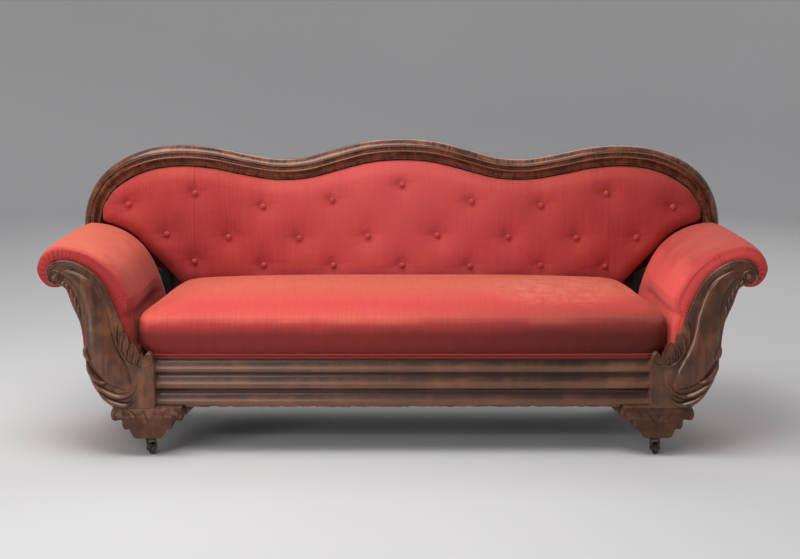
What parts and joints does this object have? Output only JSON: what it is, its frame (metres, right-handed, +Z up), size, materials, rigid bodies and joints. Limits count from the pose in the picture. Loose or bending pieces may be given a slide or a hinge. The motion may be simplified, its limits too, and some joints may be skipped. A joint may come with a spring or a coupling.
{
  "type": "scroll-arm sofa",
  "caption": "Scroll-arm sofa with a serpentine crest, button-tufted back, carved arm facings, moulded front rail and swivel casters.",
  "frame": {"origin": "on the floor, under the middle of the sofa's length and depth", "axes": "+X along the seat towards the viewer's right, +Y from the front to the back, +Z up"},
  "size_m": [2.2278, 0.66, 0.938],
  "materials": {
    "mahogany": "dark red-brown mahogany, waxed to a satin gloss",
    "crest_veneer": "cross-banded mahogany veneer, waxed to a satin gloss",
    "rail_veneer": "figured mahogany veneer, waxed to a satin gloss",
    "frame_wood": "bare sawn frame timber",
    "velvet": "crimson velvet with a fine vertical rib",
    "seat_velvet": "crimson velvet, sheen turning to salmon where it faces up",
    "button_velvet": "crimson velvet over round button shells",
    "welt_velvet": "crimson velvet over cord",
    "back_cloth": "plain crimson cloth",
    "jute": "jute webbing",
    "cambric": "dark cambric",
    "brass": "aged, darkened brass",
    "caster_wheel": "dark worn iron",
    "iron": "dark iron"
  },
  "bodies": {
    "sofa": {"arm_facing_left": "mahogany", "arm_facing_right": "mahogany", "arm_outside_left": "velvet", "arm_outside_right": "velvet", "arm_pad_left": "velvet", "arm_pad_right": "velvet", "arm_post_front_left": "frame_wood", "arm_post_front_right": "frame_wood", "arm_post_rear_left": "frame_wood", "arm_post_rear_right": "frame_wood", "arm_roll_rail_left": "frame_wood", "arm_roll_rail_right": "frame_wood", "back_cover": "back_cloth", "back_lower_rail": "frame_wood", "back_pad": "velvet", "back_post_left": "frame_wood", "back_post_right": "frame_wood", "buttons_bottom": "button_velvet", "buttons_middle": "button_velvet", "buttons_top": "button_velvet", "caster_plate_front_left": "brass", "caster_plate_front_right": "brass", "caster_plate_rear_left": "brass", "caster_plate_rear_right": "brass", "crest_center": "crest_veneer", "crest_left": "crest_veneer", "crest_right": "crest_veneer", "dust_cover": "cambric", "foot_front_left": "mahogany", "foot_front_right": "mahogany", "foot_rear_left": "mahogany", "foot_rear_right": "mahogany", "front_rail": "frame_wood", "front_rail_bead": "mahogany", "front_rail_ogee": "rail_veneer", "front_rail_torus": "rail_veneer", "glue_block_front_left": "frame_wood", "glue_block_front_right": "frame_wood", "glue_block_rear_left": "frame_wood", "glue_block_rear_right": "frame_wood", "rear_rail": "frame_wood", "seat_brace_left": "frame_wood", "seat_brace_right": "frame_wood", "seat_pad": "seat_velvet", "seat_webbing": "jute", "seat_welt": "welt_velvet", "side_rail_left": "frame_wood", "side_rail_right": "frame_wood"},
    "swivel_front_left": {"caster_fork_front_left": "brass", "caster_axle_front_left": "iron"},
    "swivel_front_right": {"caster_fork_front_right": "brass", "caster_axle_front_right": "iron"},
    "swivel_rear_left": {"caster_fork_rear_left": "brass", "caster_axle_rear_left": "iron"},
    "swivel_rear_right": {"caster_fork_rear_right": "brass", "caster_axle_rear_right": "iron"},
    "wheel_front_left": {"caster_wheel_front_left": "caster_wheel"},
    "wheel_front_right": {"caster_wheel_front_right": "caster_wheel"},
    "wheel_rear_left": {"caster_wheel_rear_left": "caster_wheel"},
    "wheel_rear_right": {"caster_wheel_rear_right": "caster_wheel"}
  },
  "joints": [
    {"name": "swivel_turn_front_left", "type": "hinge", "parent": "sofa", "child": "swivel_front_left", "pos_m": [-0.786, -0.2585, 0.045], "axis": [0, 0, 1], "continuous": true},
    {"name": "swivel_turn_front_right", "type": "hinge", "parent": "sofa", "child": "swivel_front_right", "pos_m": [0.786, -0.2585, 0.045], "axis": [0, 0, 1], "continuous": true},
    {"name": "swivel_turn_rear_left", "type": "hinge", "parent": "sofa", "child": "swivel_rear_left", "pos_m": [-0.786, 0.2585, 0.045], "axis": [0, 0, 1], "continuous": true},
    {"name": "swivel_turn_rear_right", "type": "hinge", "parent": "sofa", "child": "swivel_rear_right", "pos_m": [0.786, 0.2585, 0.045], "axis": [0, 0, 1], "continuous": true},
    {"name": "wheel_spin_front_left", "type": "hinge", "parent": "swivel_front_left", "child": "wheel_front_left", "pos_m": [-0.78037, -0.26909, 0.0188], "axis": [0.8829, 0.4695, 0], "continuous": true},
    {"name": "wheel_spin_front_right", "type": "hinge", "parent": "swivel_front_right", "child": "wheel_front_right", "pos_m": [0.78684, -0.27047, 0.0188], "axis": [0.9976, 0.0698, 0], "continuous": true},
    {"name": "wheel_spin_rear_left", "type": "hinge", "parent": "swivel_rear_left", "child": "wheel_rear_left", "pos_m": [-0.79163, 0.26909, 0.0188], "axis": [-0.8829, -0.4695, 0], "continuous": true},
    {"name": "wheel_spin_rear_right", "type": "hinge", "parent": "swivel_rear_right", "child": "wheel_rear_right", "pos_m": [0.7901, 0.26978, 0.0188], "axis": [-0.9397, 0.342, 0], "continuous": true}
  ]
}
